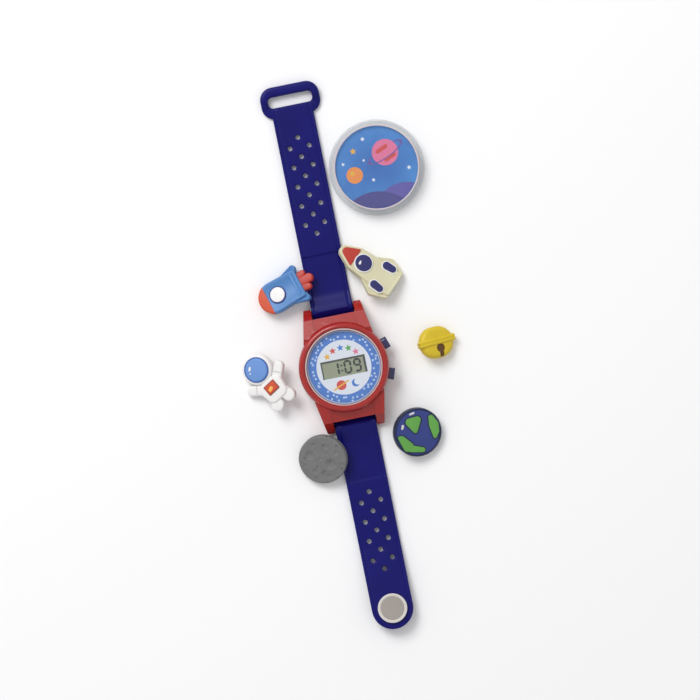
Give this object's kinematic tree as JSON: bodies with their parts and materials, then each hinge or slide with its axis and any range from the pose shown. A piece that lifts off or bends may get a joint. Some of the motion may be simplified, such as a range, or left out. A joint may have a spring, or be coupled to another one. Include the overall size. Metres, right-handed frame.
{
  "type": "toy watch",
  "caption": "Toy digital watch on a flexible perforated strap with a loop and stud closure, a turning press-on cover and plug-in charms.",
  "frame": {"origin": "on the wrist side of the strap, under the middle of the case", "axes": "+X towards the buttons, +Y along the strap towards its loop, +Z out through the dial"},
  "size_m": [0.0903, 0.2271, 0.0116],
  "materials": {
    "case_red": "moulded gloss plastic",
    "back_red": "moulded satin plastic",
    "strap_blue": "soft moulded vinyl, satin",
    "button_blue": "moulded gloss plastic",
    "lens_clear": "polished clear acrylic",
    "dial_print": "printed card under the lens",
    "lcd_grey": "grey liquid crystal panel",
    "zebra_pink": "layered conductive rubber",
    "board_green": "solder masked board",
    "steel": "plated steel",
    "strip_brass": "rolled spring brass",
    "epoxy_black": "poured epoxy",
    "holder_white": "moulded plastic",
    "stud_white": "moulded plastic",
    "cover_clear": "clear moulded plastic",
    "cover_print": "printed card",
    "charm_blue": "soft moulded vinyl",
    "charm_cream": "soft moulded vinyl",
    "charm_yellow": "soft moulded vinyl",
    "charm_globe": "soft moulded vinyl",
    "charm_grey": "soft moulded vinyl",
    "charm_white": "soft moulded vinyl"
  },
  "bodies": {
    "case": {"case_shell": "case_red", "case_back": "back_red", "back_screws": "steel", "lens": "lens_clear", "dial_plate": "dial_print", "lcd_panel": "lcd_grey", "zebra_strip": "zebra_pink", "circuit_board": "board_green", "board_screws": "steel", "chip_blob": "epoxy_black", "quartz_can": "steel", "module_holder": "holder_white", "button_cell": "steel", "cell_clip": "strip_brass", "side_contacts": "strip_brass", "strap_centre": "strap_blue"},
    "upper_button": {"upper_button": "button_blue", "upper_button_clip": "steel"},
    "lower_button": {"lower_button": "button_blue", "lower_button_clip": "steel"},
    "loop_link_1": {"strap_loop_1": "strap_blue"},
    "loop_link_2": {"strap_loop_2": "strap_blue"},
    "loop_link_3": {"strap_loop_3": "strap_blue"},
    "loop_end": {"strap_loop_end": "strap_blue"},
    "tail_link_1": {"strap_tail_1": "strap_blue"},
    "tail_link_2": {"strap_tail_2": "strap_blue"},
    "tail_end": {"strap_tail_end": "strap_blue", "closing_stud": "stud_white"},
    "cover": {"cover_cap": "cover_clear"},
    "cover_turner": {"cover_picture": "cover_print", "cover_face": "cover_clear"},
    "rocket_charm": {"rocket_charm": "charm_blue"},
    "shuttle_charm": {"shuttle_charm": "charm_cream"},
    "bell_charm": {"bell_charm": "charm_yellow"},
    "globe_charm": {"globe_charm": "charm_globe"},
    "moon_charm": {"moon_charm": "charm_grey"},
    "astronaut_charm": {"astronaut_charm": "charm_white"}
  },
  "joints": [
    {"name": "upper_button_press", "type": "slide", "parent": "case", "child": "upper_button", "axis": [-0.9455, -0.3256, 0], "range_m": [0, 0.0007]},
    {"name": "lower_button_press", "type": "slide", "parent": "case", "child": "lower_button", "axis": [-0.9455, 0.3256, 0], "range_m": [0, 0.0007]},
    {"name": "loop_bend_1", "type": "hinge", "parent": "case", "child": "loop_link_1", "pos_m": [0, 0.0322, 0], "axis": [-1, 0, 0], "range_deg": [0, 60]},
    {"name": "loop_bend_2", "type": "hinge", "parent": "loop_link_1", "child": "loop_link_2", "pos_m": [0, 0.054, 0], "axis": [-1, 0, 0], "range_deg": [0, 36]},
    {"name": "loop_bend_3", "type": "hinge", "parent": "loop_link_2", "child": "loop_link_3", "pos_m": [0, 0.074, 0], "axis": [-1, 0, 0], "range_deg": [0, 36]},
    {"name": "loop_bend_4", "type": "hinge", "parent": "loop_link_3", "child": "loop_end", "pos_m": [0, 0.094, 0], "axis": [-1, 0, 0], "range_deg": [0, 36]},
    {"name": "tail_bend_1", "type": "hinge", "parent": "case", "child": "tail_link_1", "pos_m": [0, -0.0322, 0], "axis": [1, 0, 0], "range_deg": [0, 60]},
    {"name": "tail_bend_2", "type": "hinge", "parent": "tail_link_1", "child": "tail_link_2", "pos_m": [0, -0.054, 0], "axis": [1, 0, 0], "range_deg": [0, 36]},
    {"name": "tail_bend_3", "type": "hinge", "parent": "tail_link_2", "child": "tail_end", "pos_m": [0, -0.074, 0], "axis": [1, 0, 0], "range_deg": [0, 36]},
    {"name": "cover_lift", "type": "slide", "parent": "case", "child": "cover", "axis": [0, 0, 1], "range_m": [0, 0.03]},
    {"name": "cover_turn", "type": "hinge", "parent": "cover", "child": "cover_turner", "pos_m": [0.0292, 0.0774, 0.003], "axis": [0, 0, 1], "continuous": true},
    {"name": "rocket_charm_lift", "type": "slide", "parent": "case", "child": "rocket_charm", "axis": [0, 0, 1], "range_m": [0, 0.02]},
    {"name": "shuttle_charm_lift", "type": "slide", "parent": "case", "child": "shuttle_charm", "axis": [0, 0, 1], "range_m": [0, 0.02]},
    {"name": "bell_charm_lift", "type": "slide", "parent": "case", "child": "bell_charm", "axis": [0, 0, 1], "range_m": [0, 0.02]},
    {"name": "globe_charm_lift", "type": "slide", "parent": "case", "child": "globe_charm", "axis": [0, 0, 1], "range_m": [0, 0.02]},
    {"name": "moon_charm_lift", "type": "slide", "parent": "case", "child": "moon_charm", "axis": [0, 0, 1], "range_m": [0, 0.02]},
    {"name": "astronaut_charm_lift", "type": "slide", "parent": "case", "child": "astronaut_charm", "axis": [0, 0, 1], "range_m": [0, 0.02]}
  ],
  "couplings": [
    {"joint": "loop_bend_2", "follows": "loop_bend_1", "ratio": 0.6},
    {"joint": "loop_bend_3", "follows": "loop_bend_1", "ratio": 0.6},
    {"joint": "loop_bend_4", "follows": "loop_bend_1", "ratio": 0.6},
    {"joint": "tail_bend_2", "follows": "tail_bend_1", "ratio": 0.6},
    {"joint": "tail_bend_3", "follows": "tail_bend_1", "ratio": 0.6}
  ]
}
